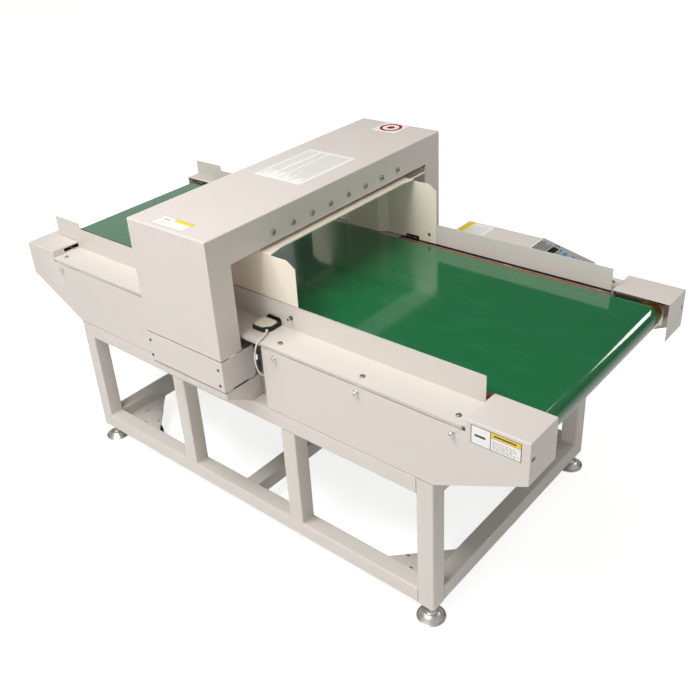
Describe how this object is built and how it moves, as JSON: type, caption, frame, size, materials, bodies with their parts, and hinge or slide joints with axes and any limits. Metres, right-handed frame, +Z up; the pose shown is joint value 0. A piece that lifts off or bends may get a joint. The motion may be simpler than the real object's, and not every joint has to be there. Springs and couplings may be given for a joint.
{
  "type": "conveyor needle detector",
  "caption": "Conveyor metal detector on a welded tube stand: flat green belt passes through a detecting head, with guides, side covers, control box, levelling feet and casters.",
  "frame": {"origin": "centre of the whole machine's bounding box, on the floor", "axes": "+X along the belt towards the control box end, +Y across to the control box side, +Z up"},
  "size_m": [1.874, 1.0338, 0.983],
  "materials": {
    "powder_coat": "finely textured warm light grey powder coat",
    "liner_coat": "smooth semi-gloss cream paint on folded sheet",
    "zinc_plate": "bright zinc plated steel",
    "yellow_zinc": "yellow passivated zinc plated steel",
    "wheel_plastic": "black moulded nylon",
    "belt_pvc": "glossy green PVC conveyor belt",
    "slider_laminate": "orange-brown laminated board with a waxed face",
    "bearing_plastic": "black moulded bearing plastic",
    "motor_paint": "smooth blue-grey motor enamel",
    "drive_rubber": "black toothed rubber belt",
    "detector_case": "mill-finish aluminium casing",
    "sensor_plastic": "black moulded plastic",
    "lead_pvc": "cream PVC sheathed lead",
    "panel_film": "satin polyester panel film",
    "key_blue": "blue moulded key",
    "key_red": "red moulded key",
    "screw_steel": "bright zinc plated screws"
  },
  "bodies": {
    "frame": {"legs": "powder_coat", "long_rails": "powder_coat", "cross_rails": "powder_coat", "corner_plates": "powder_coat", "motor_bracket": "powder_coat", "side_cover_near_left": "powder_coat", "side_cover_near_right": "powder_coat", "side_cover_far_left": "powder_coat", "side_cover_far_right": "powder_coat", "guide_plate_near": "powder_coat", "guide_plate_far": "powder_coat", "head_shell": "powder_coat", "lower_covers": "powder_coat", "base_brackets": "powder_coat", "base_beams": "powder_coat", "control_box": "powder_coat", "tunnel_liner": "liner_coat", "caster_plates": "zinc_plate", "foot_nuts": "zinc_plate", "bed_sides": "zinc_plate", "bed_cross_bars": "zinc_plate", "takeup_screws": "zinc_plate", "head_posts": "zinc_plate", "conveyor_belt": "belt_pvc", "slider_boards": "slider_laminate", "bearing_blocks": "bearing_plastic", "gearmotor": "motor_paint", "drive_belt": "drive_rubber", "upper_detector": "detector_case", "lower_detector": "detector_case", "photo_emitter": "sensor_plastic", "photo_receiver": "sensor_plastic", "mains_inlet": "sensor_plastic", "sensor_lead": "lead_pvc", "control_panel": "panel_film", "cap_screws": "screw_steel", "button_screws": "screw_steel"},
    "foot_near_left": {"foot_near_left": "zinc_plate"},
    "foot_near_right": {"foot_near_right": "zinc_plate"},
    "foot_far_left": {"foot_far_left": "zinc_plate"},
    "foot_far_right": {"foot_far_right": "zinc_plate"},
    "caster_fork_near_left": {"caster_fork_near_left": "yellow_zinc"},
    "caster_wheel_near_left": {"caster_wheel_near_left": "wheel_plastic"},
    "caster_fork_near_right": {"caster_fork_near_right": "yellow_zinc"},
    "caster_wheel_near_right": {"caster_wheel_near_right": "wheel_plastic"},
    "caster_fork_far_left": {"caster_fork_far_left": "yellow_zinc"},
    "caster_wheel_far_left": {"caster_wheel_far_left": "wheel_plastic"},
    "caster_fork_far_right": {"caster_fork_far_right": "yellow_zinc"},
    "caster_wheel_far_right": {"caster_wheel_far_right": "wheel_plastic"},
    "drive_roller": {"drive_roller": "yellow_zinc", "drive_pulley": "zinc_plate"},
    "tail_roller": {"tail_roller": "yellow_zinc"},
    "return_roller_left": {"return_roller_left": "zinc_plate"},
    "return_roller_right": {"return_roller_right": "zinc_plate"},
    "motor_pulley": {"motor_pulley": "zinc_plate"},
    "start_key": {"start_key": "key_blue"},
    "stop_key": {"stop_key": "key_red"},
    "reset_key": {"reset_key": "key_blue"},
    "test_key": {"test_key": "key_blue"},
    "power_rocker": {"power_rocker": "sensor_plastic"}
  },
  "joints": [
    {"name": "foot_near_left_screw", "type": "slide", "parent": "frame", "child": "foot_near_left", "axis": [0, 0, -1], "range_m": [0, 0.015]},
    {"name": "foot_near_right_screw", "type": "slide", "parent": "frame", "child": "foot_near_right", "axis": [0, 0, -1], "range_m": [0, 0.015]},
    {"name": "foot_far_left_screw", "type": "slide", "parent": "frame", "child": "foot_far_left", "axis": [0, 0, -1], "range_m": [0, 0.015]},
    {"name": "foot_far_right_screw", "type": "slide", "parent": "frame", "child": "foot_far_right", "axis": [0, 0, -1], "range_m": [0, 0.015]},
    {"name": "caster_fork_near_left_swivel", "type": "hinge", "parent": "frame", "child": "caster_fork_near_left", "pos_m": [-0.585, -0.3051, 0.048], "axis": [0, 0, 1], "continuous": true},
    {"name": "caster_wheel_near_left_spin", "type": "hinge", "parent": "caster_fork_near_left", "child": "caster_wheel_near_left", "pos_m": [-0.54443, -0.31597, 0.027], "axis": [0.2588, 0.9659, 0], "continuous": true},
    {"name": "caster_fork_near_right_swivel", "type": "hinge", "parent": "frame", "child": "caster_fork_near_right", "pos_m": [0.575, -0.3051, 0.048], "axis": [0, 0, 1], "continuous": true},
    {"name": "caster_wheel_near_right_spin", "type": "hinge", "parent": "caster_fork_near_right", "child": "caster_wheel_near_right", "pos_m": [0.61557, -0.31597, 0.027], "axis": [0.2588, 0.9659, 0], "continuous": true},
    {"name": "caster_fork_far_left_swivel", "type": "hinge", "parent": "frame", "child": "caster_fork_far_left", "pos_m": [-0.585, 0.2789, 0.048], "axis": [0, 0, 1], "continuous": true},
    {"name": "caster_wheel_far_left_spin", "type": "hinge", "parent": "caster_fork_far_left", "child": "caster_wheel_far_left", "pos_m": [-0.54443, 0.26803, 0.027], "axis": [0.2588, 0.9659, 0], "continuous": true},
    {"name": "caster_fork_far_right_swivel", "type": "hinge", "parent": "frame", "child": "caster_fork_far_right", "pos_m": [0.575, 0.2789, 0.048], "axis": [0, 0, 1], "continuous": true},
    {"name": "caster_wheel_far_right_spin", "type": "hinge", "parent": "caster_fork_far_right", "child": "caster_wheel_far_right", "pos_m": [0.61557, 0.26803, 0.027], "axis": [0.2588, 0.9659, 0], "continuous": true},
    {"name": "drive_roller_spin", "type": "hinge", "parent": "frame", "child": "drive_roller", "pos_m": [-0.891, -0.0071, 0.6537], "axis": [0, 1, 0], "continuous": true},
    {"name": "tail_roller_spin", "type": "hinge", "parent": "frame", "child": "tail_roller", "pos_m": [0.881, -0.0071, 0.6537], "axis": [0, 1, 0], "continuous": true},
    {"name": "return_roller_left_spin", "type": "hinge", "parent": "frame", "child": "return_roller_left", "pos_m": [-0.435, -0.0071, 0.6011], "axis": [0, 1, 0], "continuous": true},
    {"name": "return_roller_right_spin", "type": "hinge", "parent": "frame", "child": "return_roller_right", "pos_m": [0.425, -0.0071, 0.6011], "axis": [0, 1, 0], "continuous": true},
    {"name": "motor_pulley_spin", "type": "hinge", "parent": "frame", "child": "motor_pulley", "pos_m": [-0.565, -0.0071, 0.519], "axis": [0, 1, 0], "continuous": true},
    {"name": "start_key_press", "type": "slide", "parent": "frame", "child": "start_key", "axis": [-0.2245, 0, -0.9745], "range_m": [0, 0.0015], "stiffness_N_per_m": 400, "springref_m": -0.0008},
    {"name": "stop_key_press", "type": "slide", "parent": "frame", "child": "stop_key", "axis": [-0.2245, 0, -0.9745], "range_m": [0, 0.0015], "stiffness_N_per_m": 400, "springref_m": -0.0008},
    {"name": "reset_key_press", "type": "slide", "parent": "frame", "child": "reset_key", "axis": [-0.2245, 0, -0.9745], "range_m": [0, 0.0015], "stiffness_N_per_m": 400, "springref_m": -0.0008},
    {"name": "test_key_press", "type": "slide", "parent": "frame", "child": "test_key", "axis": [-0.2245, 0, -0.9745], "range_m": [0, 0.0015], "stiffness_N_per_m": 400, "springref_m": -0.0008},
    {"name": "power_rocker_tilt", "type": "hinge", "parent": "frame", "child": "power_rocker", "pos_m": [0.631, 0.4371, 0.59], "axis": [0, 1, 0], "range_deg": [0, 12]}
  ],
  "couplings": [
    {"joint": "tail_roller_spin", "follows": "drive_roller_spin", "ratio": 1},
    {"joint": "return_roller_left_spin", "follows": "drive_roller_spin", "ratio": -2.125},
    {"joint": "return_roller_right_spin", "follows": "drive_roller_spin", "ratio": -2.125},
    {"joint": "motor_pulley_spin", "follows": "drive_roller_spin", "ratio": 1.25}
  ]
}
